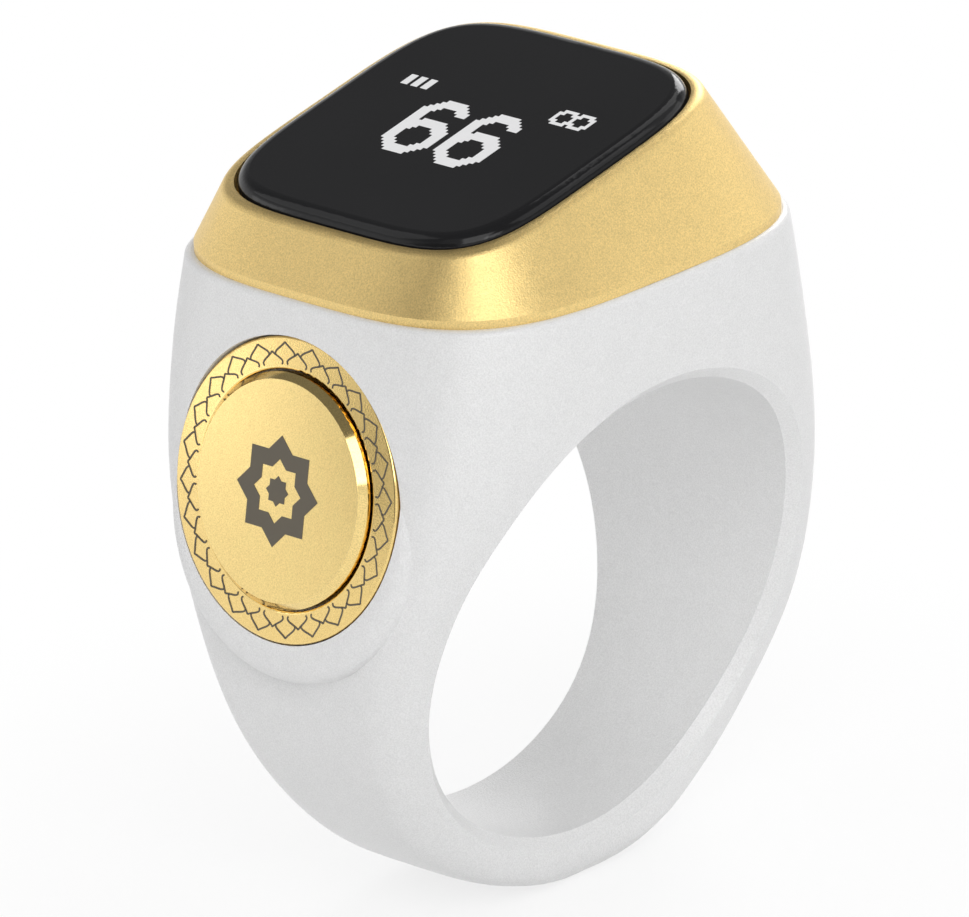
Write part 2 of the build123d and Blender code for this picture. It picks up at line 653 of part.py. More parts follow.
# Guide plate the stem slides through
stem_seal_radius = STEM_RADIUS + STEM_SEAL_CLEARANCE + STEM_SEAL_SECTION / 2
with BuildPart() as button_guide:
    with BuildSketch(button_face.offset(-guide_back)):
        Circle(GUIDE_RADIUS)
        Circle(STEM_RADIUS + STEM_CLEARANCE, mode=Mode.SUBTRACT)
    extrude(amount=GUIDE_THICKNESS)
    with BuildSketch(button_face.offset(-TRIM_SEAT)):
        Circle(stem_seal_radius + STEM_SEAL_SECTION / 2)
    extrude(amount=-STEM_SEAL_SEAT, mode=Mode.SUBTRACT)

button_guide.part.label = "button_guide"
export_step(button_guide.part, "parts/button_guide.step")

# Seal round the stem
with BuildPart() as stem_seal:
    with BuildSketch(button_section):
        with Locations((stem_seal_radius, STEM_SEAL_SECTION / 2 - TRIM_SEAT - STEM_SEAL_SEAT)):
            Circle(STEM_SEAL_SECTION / 2)
    revolve(axis=button_axis)

stem_seal.part.label = "stem_seal"
export_step(stem_seal.part, "parts/stem_seal.step")

# Push switch behind the stem
with BuildPart() as switch_base:
    with BuildSketch(button_face.offset(-flex_front)):
        Rectangle(SWITCH_SIDE, SWITCH_SIDE)
    extrude(amount=SWITCH_HEIGHT)
    with BuildSketch(button_face.offset(-switch_front)):
        Circle(PLUNGER_RADIUS + PLUNGER_CLEARANCE)
    extrude(amount=-SWITCH_WELL, mode=Mode.SUBTRACT)

switch_base.part.label = "switch_base"
export_step(switch_base.part, "parts/switch_base.step")

with BuildPart() as switch_plunger:
    with BuildSketch(button_face.offset(-stem_tip)):
        Circle(PLUNGER_RADIUS)
    extrude(amount=-plunger_length)

switch_plunger.part.label = "switch_plunger"
export_step(switch_plunger.part, "parts/switch_plunger.step")

# Switch flex, from under the switch up to the board
with BuildPart() as switch_flex:
    with BuildSketch(button_face.offset(-flex_back)):
        with Locations((0, (switch_flex_top - SWITCH_FLEX_TAIL) / 2)):
            Rectangle(SWITCH_FLEX_WIDTH, switch_flex_top + SWITCH_FLEX_TAIL)
    extrude(amount=FLEX_THICKNESS)

switch_flex.part.label = "switch_flex"
export_step(switch_flex.part, "parts/switch_flex.step")

# Steel stiffener at the bottom of the switch pocket
with BuildPart() as switch_stiffener:
    with BuildSketch(button_face.offset(-SWITCH_POCKET_DEPTH)):
        Circle(SWITCH_POCKET_RADIUS - STIFFENER_FIT)
    extrude(amount=STIFFENER_THICKNESS)

switch_stiffener.part.label = "switch_stiffener"
export_step(switch_stiffener.part, "parts/switch_stiffener.step")
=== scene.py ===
# %% [markdown]
# This lesson dresses a finger-worn digital tasbih counter: a white ring body, a gold bezel with a tilted
# black display, and a round gold button on its side. The solids come ready-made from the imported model.
# What is left for Blender is what makes them look real: finishes, thin inlays, lit pixels and light.
# Everything is in metres, and sizes of this small object are written in millimetres times MM.

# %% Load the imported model
import json
from math import cos, pi, radians, sin

import bmesh
import bpy
from mathutils import Matrix, Vector


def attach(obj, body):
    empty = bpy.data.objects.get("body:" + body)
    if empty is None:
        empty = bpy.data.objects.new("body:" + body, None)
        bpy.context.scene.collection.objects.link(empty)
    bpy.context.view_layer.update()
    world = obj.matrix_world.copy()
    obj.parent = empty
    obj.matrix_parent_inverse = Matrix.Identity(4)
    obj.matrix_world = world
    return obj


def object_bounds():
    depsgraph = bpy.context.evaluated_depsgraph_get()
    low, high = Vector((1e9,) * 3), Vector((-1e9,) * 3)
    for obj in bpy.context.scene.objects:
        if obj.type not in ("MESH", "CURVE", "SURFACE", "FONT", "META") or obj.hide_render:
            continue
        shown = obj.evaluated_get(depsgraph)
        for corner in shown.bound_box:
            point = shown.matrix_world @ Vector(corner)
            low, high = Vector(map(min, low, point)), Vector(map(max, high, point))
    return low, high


MM = 0.001
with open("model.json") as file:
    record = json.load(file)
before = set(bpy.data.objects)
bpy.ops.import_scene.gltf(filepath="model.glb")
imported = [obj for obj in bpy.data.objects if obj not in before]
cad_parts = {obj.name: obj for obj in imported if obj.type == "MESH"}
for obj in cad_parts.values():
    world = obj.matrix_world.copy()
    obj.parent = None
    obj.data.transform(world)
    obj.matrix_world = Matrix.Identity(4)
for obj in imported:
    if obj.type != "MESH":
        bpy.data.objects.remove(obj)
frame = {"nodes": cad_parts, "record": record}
cad_low, cad_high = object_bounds()
size_mm = [round((high - low) / MM, 2) for low, high in zip(cad_low, cad_high)]
print("loaded", len(frame["nodes"]), "pieces, size in mm", size_mm)

# %% [markdown]
# Two faces of the counter carry graphics: the sloping glass and the leaning button. A piece drawn flat in
# its own XY plane can be laid on either face by one matrix, so each face gets a matrix whose X points to
# the right, whose Y points up the face and whose Z points out of it. That is easier to read than working
# out tilted coordinates for every corner.

# %% Work planes of the glass and the button
DISPLAY_TILT = radians(12.4)
GLASS_TOP = Vector((-1.1, 0, 19.04)) * MM
GLASS_PROUD = 0.4 * MM
BUTTON_LEAN = radians(12.7)
BUTTON_CENTRE = Vector((-11.97, 0, 7.45)) * MM
TRIM_PROUD = 0.06 * MM
CAP_PROUD = 0.5 * MM


def face_matrix(centre, up, normal, lift):
    """Matrix that lays a flat drawing on a face, with its Y up the face and its Z out of it."""
    across = up.cross(normal)
    rows = Matrix((across, up, normal)).transposed().to_4x4()
    return Matrix.Translation(centre + normal * lift) @ rows


glass_up = Vector((cos(DISPLAY_TILT), 0, sin(DISPLAY_TILT)))
glass_normal = Vector((-sin(DISPLAY_TILT), 0, cos(DISPLAY_TILT)))
button_up = Vector((sin(BUTTON_LEAN), 0, cos(BUTTON_LEAN)))
button_normal = Vector((-cos(BUTTON_LEAN), 0, sin(BUTTON_LEAN)))
glass_face = face_matrix(GLASS_TOP, glass_up, glass_normal, GLASS_PROUD)
trim_face = face_matrix(BUTTON_CENTRE, button_up, button_normal, TRIM_PROUD)
cap_face = face_matrix(BUTTON_CENTRE, button_up, button_normal, CAP_PROUD)
print("glass face at", [round(v / MM, 2) for v in glass_face.translation])

# %% [markdown]
# The photograph was taken from half a metre away with a long lens, from the button's side and a little
# above. A camera placed by hand would need many tries. This one stands at a direction, a tilt and a
# distance that were fitted to the outlines of the bore, the glass and the button.

# %% Camera
CAMERA_TURN = radians(44.237)
CAMERA_RISE = radians(20.705)
CAMERA_ROLL = radians(-3.705)
CAMERA_DISTANCE = 0.5
CAMERA_AIM = (-1.034 * MM, 4.703 * MM)
PIXELS_PER_MM = 24.942
IMAGE_WIDTH = 969
SENSOR = 36.0
CLIP_NEAR = 0.01

back = Vector((
    -sin(CAMERA_TURN) * cos(CAMERA_RISE),
    -cos(CAMERA_TURN) * cos(CAMERA_RISE),
    sin(CAMERA_RISE),
))
level = Vector((cos(CAMERA_TURN), -sin(CAMERA_TURN), 0))
upright = back.cross(level)
view_right = cos(CAMERA_ROLL) * level + sin(CAMERA_ROLL) * upright
view_up = cos(CAMERA_ROLL) * upright - sin(CAMERA_ROLL) * level
camera_data = bpy.data.cameras.new("photo_camera")
camera_data.sensor_fit = "HORIZONTAL"
camera_data.sensor_width = SENSOR
camera_data.lens = PIXELS_PER_MM / MM * CAMERA_DISTANCE * SENSOR / IMAGE_WIDTH
camera_data.clip_start = CLIP_NEAR
camera = bpy.data.objects.new("photo_camera", camera_data)
bpy.context.scene.collection.objects.link(camera)
stand = view_right * CAMERA_AIM[0] + view_up * CAMERA_AIM[1] + back * CAMERA_DISTANCE
axes = Matrix((view_right, view_up, back)).transposed().to_4x4()
camera.matrix_world = Matrix.Translation(stand) @ axes
bpy.context.scene.camera = camera
print("lens", round(camera_data.lens), "mm, camera at", [round(v, 3) for v in stand])

# %% [markdown]
# A product on white is lit by large soft panels and stands on a pale floor. Area lamps give soft edges to
# the shadows, and a dim white world fills them. The floor and the world are painted white only for rays
# that come from the camera, a mirror or glass, so the picture's ground is white while the lamps stay low.
# The studio's ceiling is darker than its walls, and a dark card stands to the left of the camera. That is
# what gives gold its contrast and keeps the black glass black: without something dark to mirror, metal
# looks like paint. The world is a function of the direction a ray flies in, so fading it with height makes
# the ceiling, and fading it near one direction makes the card.

# %% Helpers for node trees
def add_node(tree, kind, **values):
    """Add a node, set its properties and its unlinked inputs by name."""
    node = tree.nodes.new(kind)
    for key, value in values.items():
        if key in node.bl_rna.properties:
            setattr(node, key, value)
        else:
            node.inputs[key.replace("_", " ")].default_value = value
    return node


def seen_as_ground(tree):
    """Socket that is 1 for rays from the camera, a mirror or glass, and 0 for other light."""
    path = add_node(tree, "ShaderNodeLightPath")
    first = add_node(tree, "ShaderNodeMath", operation="MAXIMUM")
    either = add_node(tree, "ShaderNodeMath", operation="MAXIMUM")
    tree.links.new(path.outputs["Is Camera Ray"], first.inputs[0])
    tree.links.new(path.outputs["Is Glossy Ray"], first.inputs[1])
    tree.links.new(first.outputs[0], either.inputs[0])
    tree.links.new(path.outputs["Is Transmission Ray"], either.inputs[1])
    return either.outputs[0]


print("helpers ready")

# %% White world
WORLD_FILL = 0.43
WALL_TOP = 0.12
CEILING_FOOT = 0.62
CEILING_GREY = 0.19
CARD_WAY = Vector((-0.998, 0.035, 0.052))
CARD_EDGE = cos(radians(33))
CARD_CORE = cos(radians(18))
CARD_GREY = 0.12

world = bpy.data.worlds.new("studio_white")
bpy.context.scene.world = world
world.use_nodes = True
tree = world.node_tree
tree.nodes.clear()
fill = add_node(tree, "ShaderNodeBackground", Color=(1, 1, 1, 1), Strength=WORLD_FILL)
ground = add_node(tree, "ShaderNodeBackground", Strength=1.0)
mix = add_node(tree, "ShaderNodeMixShader")
output = add_node(tree, "ShaderNodeOutputWorld")
direction = add_node(tree, "ShaderNodeTexCoord")
parts = add_node(tree, "ShaderNodeSeparateXYZ")
fade = add_node(tree, "ShaderNodeMapRange", From_Min=WALL_TOP, From_Max=CEILING_FOOT,
                To_Min=1.0, To_Max=CEILING_GREY, interpolation_type="SMOOTHSTEP")
toward = add_node(tree, "ShaderNodeVectorMath", operation="DOT_PRODUCT")
toward.inputs[1].default_value = CARD_WAY
card = add_node(tree, "ShaderNodeMapRange", From_Min=CARD_EDGE, From_Max=CARD_CORE,
                To_Min=1.0, To_Max=CARD_GREY, interpolation_type="SMOOTHSTEP")
studio = add_node(tree, "ShaderNodeMath", operation="MULTIPLY")
backdrop = add_node(tree, "ShaderNodeMath", operation="MAXIMUM")
path = add_node(tree, "ShaderNodeLightPath")
tree.links.new(direction.outputs["Generated"], parts.inputs[0])
tree.links.new(direction.outputs["Generated"], toward.inputs[0])
tree.links.new(parts.outputs["Z"], fade.inputs["Value"])
tree.links.new(toward.outputs["Value"], card.inputs["Value"])
tree.links.new(fade.outputs["Result"], studio.inputs[0])
tree.links.new(card.outputs["Result"], studio.inputs[1])
tree.links.new(studio.outputs[0], backdrop.inputs[0])
tree.links.new(path.outputs["Is Camera Ray"], backdrop.inputs[1])
tree.links.new(backdrop.outputs[0], ground.inputs["Color"])
tree.links.new(seen_as_ground(tree), mix.inputs[0])
tree.links.new(fill.outputs[0], mix.inputs[1])
tree.links.new(ground.outputs[0], mix.inputs[2])
tree.links.new(mix.outputs[0], output.inputs["Surface"])
bpy.context.scene.view_settings.view_transform = "Standard"
print("world fill", WORLD_FILL)

# %% Pale floor
FLOOR_SIZE = 6.0
FLOOR_GREY = 0.92
SHADOW_SHARE = 0.22
SHADOW_REACH = (0.012, 0.036)

bpy.ops.mesh.primitive_plane_add(size=FLOOR_SIZE, location=(0, 0, cad_low.z))
floor = bpy.context.object
floor.name = "studio_floor"
paint = bpy.data.materials.new("studio_floor")
paint.use_nodes = True
tree = paint.node_tree
tree.nodes.clear()
matt = add_node(tree, "ShaderNodeBsdfDiffuse", Color=(FLOOR_GREY, FLOOR_GREY, FLOOR_GREY, 1))
glow = add_node(tree, "ShaderNodeEmission", Color=(1, 1, 1, 1), Strength=1.0)
place = add_node(tree, "ShaderNodeTexCoord")
reach = add_node(tree, "ShaderNodeVectorMath", operation="LENGTH")
fade = add_node(tree, "ShaderNodeMapRange", From_Min=SHADOW_REACH[0], From_Max=SHADOW_REACH[1],
                To_Min=1 - SHADOW_SHARE, To_Max=1.0, interpolation_type="SMOOTHSTEP")
share = add_node(tree, "ShaderNodeMath", operation="MULTIPLY")
mix = add_node(tree, "ShaderNodeMixShader")
output = add_node(tree, "ShaderNodeOutputMaterial")
tree.links.new(place.outputs["Object"], reach.inputs[0])
tree.links.new(reach.outputs["Value"], fade.inputs["Value"])
tree.links.new(fade.outputs["Result"], share.inputs[1])
tree.links.new(seen_as_ground(tree), share.inputs[0])
tree.links.new(share.outputs[0], mix.inputs[0])
tree.links.new(matt.outputs[0], mix.inputs[1])
tree.links.new(glow.outputs[0], mix.inputs[2])
tree.links.new(mix.outputs[0], output.inputs["Surface"])
floor.data.materials.append(paint)
print("floor at", round(cad_low.z / MM, 2), "mm")

# %% Soft lamps
# Place of each square panel and its side in metres, and its power in watts
LAMPS = {
    "button_panel": ((-0.20, 0.29, 0.03), 0.12, 0.04),
    "left_panel": ((-0.14, 0.20, 0.22), 0.18, 0.078),
    "front_panel": ((-0.26, -0.05, 0.24), 0.18, 0.025),
    "camera_panel": ((-0.195, -0.205, 0.215), 0.22, 0.37),
    "ridge_panel": ((-0.10, -0.30, 0.16), 0.12, 0.12),
    "right_panel": ((0.12, -0.22, 0.27), 0.16, 0.075),
    "bezel_panel": ((0.22, -0.12, 0.24), 0.18, 0.04),
    "far_panel": ((0.29, -0.16, 0.15), 0.16, 0.06),
    "back_panel": ((0.30, 0.12, 0.18), 0.16, 0.45),
    "high_panel": ((0.20, 0.02, 0.30), 0.16, 0.10),
}
LAMP_AIM = Vector((0, 0, 0.006))

for name, (place, side, power) in LAMPS.items():
    lamp_data = bpy.data.lights.new(name, "AREA")
    lamp_data.size = side
    lamp_data.energy = power
    lamp = bpy.data.objects.new(name, lamp_data)
    lamp.location = place
    lamp.rotation_euler = (Vector(place) - LAMP_AIM).to_track_quat("Z", "Y").to_euler()
    bpy.context.scene.collection.objects.link(lamp)
print("lamps", list(LAMPS))

# %% [markdown]
# Most finishes of a moulded or plated part share one recipe: a base colour that wavers a little, a
# roughness that wavers a little, and a fine grain. A smooth grey ball with none of these looks like a
# computer picture. Noise textures in object space give all three without an image, and they need no
# unwrapping. The grain drives a Bump node, whose Distance is the real height of the grain, and it paints
# shade into the base colour as well, darkening it a little in each pit, where less light gets in.

# %% Recipe for a grained finish
NOISE_SPAN = (0.3, 0.7)
FINE_DETAIL = 2.0
BROAD_DETAIL = 3.0
BROAD_STEP = 12


def grained(name, colour, rough, grain, height, metallic=0.0, waver=0.03, specular=0.5, pit_shade=0.0):
    """Material with a fine grain. rough is a low and a high value, and grain and height are in mm.

    waver is the share by which the colour varies, and the last argument is the share of painted shade
    that darkens each pit of the grain.
    """
    material = bpy.data.materials.new(name)
    material.use_nodes = True
    tree = material.node_tree
    shader = tree.nodes["Principled BSDF"]
    shader.inputs["Metallic"].default_value = metallic
    shader.inputs["Specular IOR Level"].default_value = specular
    low, high = NOISE_SPAN
    place = add_node(tree, "ShaderNodeTexCoord", name="place")
    fine = add_node(tree, "ShaderNodeTexNoise", Scale=1 / (grain * MM), Detail=FINE_DETAIL)
    broad = add_node(tree, "ShaderNodeTexNoise", Scale=1 / (BROAD_STEP * grain * MM), Detail=BROAD_DETAIL)
    shades = add_node(tree, "ShaderNodeValToRGB")
    shades.color_ramp.elements[0].position = low
    shades.color_ramp.elements[1].position = high
    shades.color_ramp.elements[0].color = [c * (1 - waver) for c in colour] + [1]
    shades.color_ramp.elements[1].color = [min(1, c * (1 + waver)) for c in colour] + [1]
    sheen = add_node(tree, "ShaderNodeMapRange", name="sheen", From_Min=low, From_Max=high,
                     To_Min=rough[0], To_Max=rough[1])
    bump = add_node(tree, "ShaderNodeBump", name="grain", Strength=1.0, Distance=height * MM)
    # Painted shade: the fine grain darkens the base colour in each pit, where less light gets in.
    pit_shade_factor = add_node(tree, "ShaderNodeMapRange", From_Min=low, From_Max=high,
                     To_Min=1 - pit_shade, To_Max=1.0)
    colour_with_pit_shade = add_node(tree, "ShaderNodeVectorMath", operation="SCALE")
    for noise in (fine, broad):
        tree.links.new(place.outputs["Object"], noise.inputs["Vector"])
    tree.links.new(broad.outputs["Fac"], shades.inputs["Fac"])
    tree.links.new(broad.outputs["Fac"], sheen.inputs["Value"])
    tree.links.new(fine.outputs["Fac"], bump.inputs["Height"])
    tree.links.new(fine.outputs["Fac"], pit_shade_factor.inputs["Value"])
    tree.links.new(shades.outputs["Color"], colour_with_pit_shade.inputs[0])
    tree.links.new(pit_shade_factor.outputs["Result"], colour_with_pit_shade.inputs["Scale"])
    tree.links.new(colour_with_pit_shade.outputs["Vector"], shader.inputs["Base Color"])
    tree.links.new(sheen.outputs["Result"], shader.inputs["Roughness"])
    tree.links.new(bump.outputs["Normal"], shader.inputs["Normal"])
    return material


finishes = {}
print("recipe ready")

# %% [markdown]
# The ring body is white satin plastic with a fine leather-like grain from its mould. It is not pure white:
# a real white plastic gives back about four fifths of the light. The gold bezel has the same kind of
# grain in anodised metal, so it shines in a soft, broken way.

# %% White shell and gold bezel
# Both finishes below paint a little shade into each pit of their grain.
finishes["white_shell"] = grained(
    "white_shell", (0.84, 0.84, 0.84), (0.28, 0.34), 0.065, 0.022, waver=0.012, specular=1.0, pit_shade=0.14
)
finishes["gold_bezel"] = grained(
    "gold_bezel", (0.98, 0.735, 0.31), (0.41, 0.47), 0.065, 0.013, metallic=1.0, waver=0.02, pit_shade=0.26
)
print("made", list(finishes))

# %% [markdown]
# The cover glass is printed black behind and polished in front. Faint smears in its gloss keep it from
# looking like a hole. A lowered specular level stands for the anti-reflection coat of such glasses.

# %% Black glass
finishes["black_glass"] = grained(
    "black_glass", (0.012, 0.012, 0.013), (0.10, 0.16), 1.2, 0.0004, waver=0.1, specular=0.25
)
print("made black_glass")

# %% [markdown]
# The button's cap and trim are gold with a grained face and polished edges. One metal with two polishes
# can be one material: the distance from the button's axis tells the face from the edge. A Mapping node of
# the Texture kind turns object space into the button's own space, and the length of what is left after
# dropping its Z is that distance. The same distance tilts the shading through a second Bump node: up to six
# degrees at the crowned cap's edge and ten on the trim. A perfectly flat mirror would have one even tone.

# %% Polished edges by distance from the button's axis
EDGE_BLEND = 0.03
EDGE_SHINE = 0.10


def polish_edges(material, inner, outer, crown):
    """Make a grained finish smooth outside the band from inner to outer, in mm from the button's axis.

    crown is the fall of the face in mm, from the axis to the band's outer end, and the power it falls by.
    """
    tree = material.node_tree
    shader = tree.nodes["Principled BSDF"]
    bump = tree.nodes["grain"]
    sheen = tree.nodes["sheen"]
    place = tree.nodes["place"]
    local = add_node(tree, "ShaderNodeMapping", vector_type="TEXTURE")
    local.inputs["Location"].default_value = trim_face.translation
    local.inputs["Rotation"].default_value = trim_face.to_euler()
    flat = add_node(tree, "ShaderNodeVectorMath", operation="MULTIPLY")
    flat.inputs[1].default_value = (1, 1, 0)
    reach = add_node(tree, "ShaderNodeVectorMath", operation="LENGTH")
    rise = add_node(tree, "ShaderNodeMapRange", From_Min=(inner - EDGE_BLEND) * MM, From_Max=inner * MM)
    fall = add_node(tree, "ShaderNodeMapRange", From_Min=outer * MM, From_Max=(outer + EDGE_BLEND) * MM,
                    To_Min=1.0, To_Max=0.0)
    band = add_node(tree, "ShaderNodeMath", operation="MULTIPLY")
    rough = add_node(tree, "ShaderNodeMix", data_type="FLOAT")
    rough.inputs["A"].default_value = EDGE_SHINE
    tree.links.new(place.outputs["Object"], local.inputs["Vector"])
    tree.links.new(local.outputs["Vector"], flat.inputs[0])
    tree.links.new(flat.outputs["Vector"], reach.inputs[0])
    tree.links.new(reach.outputs["Value"], rise.inputs["Value"])
    tree.links.new(reach.outputs["Value"], fall.inputs["Value"])
    tree.links.new(rise.outputs["Result"], band.inputs[0])
    tree.links.new(fall.outputs["Result"], band.inputs[1])
    tree.links.new(band.outputs[0], rough.inputs["Factor"])
    tree.links.new(sheen.outputs["Result"], rough.inputs["B"])
    tree.links.new(rough.outputs["Result"], shader.inputs["Roughness"])
    tree.links.new(band.outputs[0], bump.inputs["Strength"])
    fall_height, power = crown
    ratio = add_node(tree, "ShaderNodeMath", operation="DIVIDE")
    ratio.inputs[1].default_value = outer * MM
    curve = add_node(tree, "ShaderNodeMath", operation="POWER")
    curve.inputs[1].default_value = power
    arch = add_node(tree, "ShaderNodeBump", Strength=1.0, Distance=fall_height * MM, invert=True)
    tree.links.new(reach.outputs["Value"], ratio.inputs[0])
    tree.links.new(ratio.outputs[0], curve.inputs[0])
    tree.links.new(curve.outputs[0], arch.inputs["Height"])
    tree.links.new(arch.outputs["Normal"], bump.inputs["Normal"])


print("edge polish ready")

# %% Gold cap and gold trim
NO_INNER_EDGE = -1.0
CAP_FACE_END = 4.42
CAP_CROWN = (0.22, 2.0)
TRIM_FACE_START = 4.91
TRIM_FACE_END = 6.0
TRIM_SLOPE = (1.0, 1.0)

# Cap and trim paint a little shade into each pit of their grain.
finishes["gold_cap"] = grained(
    "gold_cap", (1.0, 0.755, 0.315), (0.28, 0.34), 0.06, 0.008, metallic=1.0, waver=0.02, pit_shade=0.22
)
finishes["gold_trim"] = grained(
    "gold_trim", (0.98, 0.725, 0.29), (0.24, 0.30), 0.06, 0.008, metallic=1.0, waver=0.02, pit_shade=0.20
)
polish_edges(finishes["gold_cap"], NO_INNER_EDGE, CAP_FACE_END, CAP_CROWN)
polish_edges(finishes["gold_trim"], TRIM_FACE_START, TRIM_FACE_END, TRIM_SLOPE)
print("made gold_cap and gold_trim")

# %% [markdown]
# The small parts inside are seen only when the counter is opened or cut, but each has its own stuff:
# plated cans, moulded chips, amber flex film, rubber seals. A table of colour, roughness and grain is
# enough for them, and it keeps the list easy to change.

# %% Finishes of the parts inside
INSIDE_WAVER = 0.06
# Colour, lowest and highest roughness, width and height of the grain in mm, metallic
INSIDE = {
    "black_tape": ((0.03, 0.03, 0.03), (0.6, 0.75), 0.15, 0.004, 0.0),
    "grey_silicone": ((0.36, 0.36, 0.37), (0.5, 0.65), 0.3, 0.006, 0.0),
    "panel_black": ((0.02, 0.02, 0.025), (0.12, 0.2), 1.0, 0.001, 0.0),
    "flex_amber": ((0.55, 0.28, 0.05), (0.3, 0.42), 0.4, 0.004, 0.0),
    "connector_cream": ((0.72, 0.66, 0.52), (0.45, 0.6), 0.2, 0.004, 0.0),
    "board_green": ((0.02, 0.16, 0.07), (0.3, 0.42), 0.35, 0.006, 0.0),
    "screw_steel": ((0.56, 0.56, 0.58), (0.26, 0.4), 0.1, 0.004, 1.0),
    "chip_black": ((0.03, 0.03, 0.033), (0.5, 0.62), 0.12, 0.004, 0.0),
    "chip_grey": ((0.12, 0.12, 0.13), (0.45, 0.6), 0.12, 0.004, 0.0),
    "can_steel": ((0.64, 0.64, 0.61), (0.22, 0.36), 0.3, 0.003, 1.0),
    "ceramic_white": ((0.72, 0.74, 0.72), (0.3, 0.45), 0.15, 0.003, 0.0),
    "passive_tan": ((0.40, 0.28, 0.18), (0.35, 0.5), 0.15, 0.004, 0.0),
    "motor_steel": ((0.60, 0.60, 0.60), (0.2, 0.36), 0.5, 0.003, 1.0),
    "lead_blue": ((0.06, 0.12, 0.46), (0.35, 0.5), 0.25, 0.004, 0.0),
    "contact_gold": ((0.80, 0.58, 0.22), (0.14, 0.28), 0.4, 0.002, 1.0),
    "pouch_silver": ((0.66, 0.67, 0.68), (0.28, 0.45), 0.8, 0.02, 1.0),
    "white_tape": ((0.76, 0.76, 0.73), (0.6, 0.75), 0.2, 0.005, 0.0),
    "lead_red": ((0.5, 0.03, 0.03), (0.35, 0.5), 0.25, 0.004, 0.0),
    "stem_steel": ((0.56, 0.56, 0.58), (0.18, 0.3), 0.15, 0.002, 1.0),
    "clip_steel": ((0.36, 0.36, 0.38), (0.25, 0.4), 0.15, 0.003, 1.0),
    "black_rubber": ((0.03, 0.03, 0.03), (0.5, 0.65), 0.2, 0.005, 0.0),
    "guide_black": ((0.04, 0.04, 0.043), (0.4, 0.55), 0.2, 0.005, 0.0),
    "switch_black": ((0.05, 0.05, 0.053), (0.45, 0.6), 0.15, 0.004, 0.0),
    "plunger_white": ((0.76, 0.76, 0.75), (0.4, 0.5), 0.2, 0.003, 0.0),
    "stiffener_steel": ((0.60, 0.60, 0.62), (0.25, 0.4), 0.2, 0.003, 1.0),
}

for name, (colour, rough, grain, height, metallic) in INSIDE.items():
    finishes[name] = grained(name, colour, rough, grain, height, metallic, waver=INSIDE_WAVER)
print("made", len(INSIDE), "finishes for the parts inside")

# %% Put the finishes on the pieces
for row in frame["record"]["subparts"]:
    piece = frame["nodes"][row["node"]]
    piece.data.materials.clear()
    piece.data.materials.append(finishes[row["material_slot"]])

# %% [markdown]
# The trim ring carries a band of two rows of lotus petals, a traditional border, cut as fine lines and
# filled with dark enamel. Lines this thin could be painted by a texture, but real lines hold up close to
# the camera and in an exported mesh. Each petal edge is a Bezier curve, and a flat rectangle swept along
# all of them gives an inlay that stands a hair above the metal.

# %% Dark enamel
enamel = grained("enamel_brown", (0.115, 0.098, 0.07), (0.45, 0.6), 0.15, 0.003, waver=0.08)
print("made enamel")

# %% Petal lines on the trim ring
PETALS = 24
PETAL_PITCH = 2 * pi / PETALS
FOOT_SHARE = 0.37
# Radius of foot and tip, then the rise from the foot and the drop from the tip to the curve's handles, all
# in mm, each with the handle's distance from the petal's middle as a share of the pitch
FRONT_PETAL = (4.98, 5.50, (0.20, 0.52), (0.22, 0.16))
BACK_PETAL = (5.37, 5.86, (0.16, 0.42), (0.20, 0.14))
LINE_WIDTH = 0.075 * MM
LINE_DEPTH = 0.024 * MM
LINE_STEPS = 10


def polar(radius, turn):
    """Point on the trim ring's face, from a radius in mm and an angle."""
    return Vector((radius * sin(turn), radius * cos(turn), 0)) * MM


def add_bezier(curve, knots):
    """Add one open Bezier spline from (point, handle before, handle after) rows."""
    spline = curve.splines.new("BEZIER")
    spline.bezier_points.add(len(knots) - 1)
    for knot, (point, before, after) in zip(spline.bezier_points, knots):
        knot.handle_left_type = "FREE"
        knot.handle_right_type = "FREE"
        knot.co = point
        knot.handle_left = before
        knot.handle_right = after


def add_petal_edge(curve, petal, middle, side):
    """Add one edge of a petal, from its foot to its tip. side is -1 or 1."""
    foot_radius, tip_radius, (rise, rise_share), (drop, drop_share) = petal
    foot = polar(foot_radius, middle + side * FOOT_SHARE * PETAL_PITCH)
    leaving = polar(foot_radius + rise, middle + side * rise_share * PETAL_PITCH)
    reaching = polar(tip_radius - drop, middle + side * drop_share * PETAL_PITCH)
    tip = polar(tip_radius, middle)
    add_bezier(curve, [(foot, foot, leaving), (tip, reaching, tip)])


print(PETALS, "petals in a row")

# %% Sweep the petal lines
profile = bpy.data.curves.new("line_profile", "CURVE")
profile.dimensions = "2D"
corners = [(-1, -1), (1, -1), (1, 1), (-1, 1)]
outline = profile.splines.new("POLY")
outline.points.add(len(corners) - 1)
for point, (x, y) in zip(outline.points, corners):
    point.co = (x * LINE_WIDTH / 2, y * LINE_DEPTH / 2, 0, 1)
outline.use_cyclic_u = True
profile_piece = bpy.data.objects.new("line_profile", profile)

petals = bpy.data.curves.new("petal_lines", "CURVE")
petals.dimensions = "3D"
petals.twist_mode = "Z_UP"
petals.resolution_u = LINE_STEPS
petals.bevel_mode = "OBJECT"
petals.bevel_object = profile_piece
petals.use_fill_caps = True
for step in range(PETALS):
    front = step * PETAL_PITCH
    behind = front + PETAL_PITCH / 2
    for side in (-1, 1):
        add_petal_edge(petals, FRONT_PETAL, front, side)
        add_petal_edge(petals, BACK_PETAL, behind, side)
petals.materials.append(enamel)
petal_lines = bpy.data.objects.new("petal_lines", petals)
petal_lines.matrix_world = trim_face
bpy.context.scene.collection.objects.link(petal_lines)
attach(petal_lines, "ring")
print("drew", len(petals.splines), "petal lines")

# %% [markdown]
# In the middle of the button sits an eight-pointed star, two squares turned on each other, which is one of
# the oldest geometric ornaments. It is an enamel inlay too. A filled 2D curve cuts the inner window by
# itself when an outline lies inside another, so the star needs no boolean.

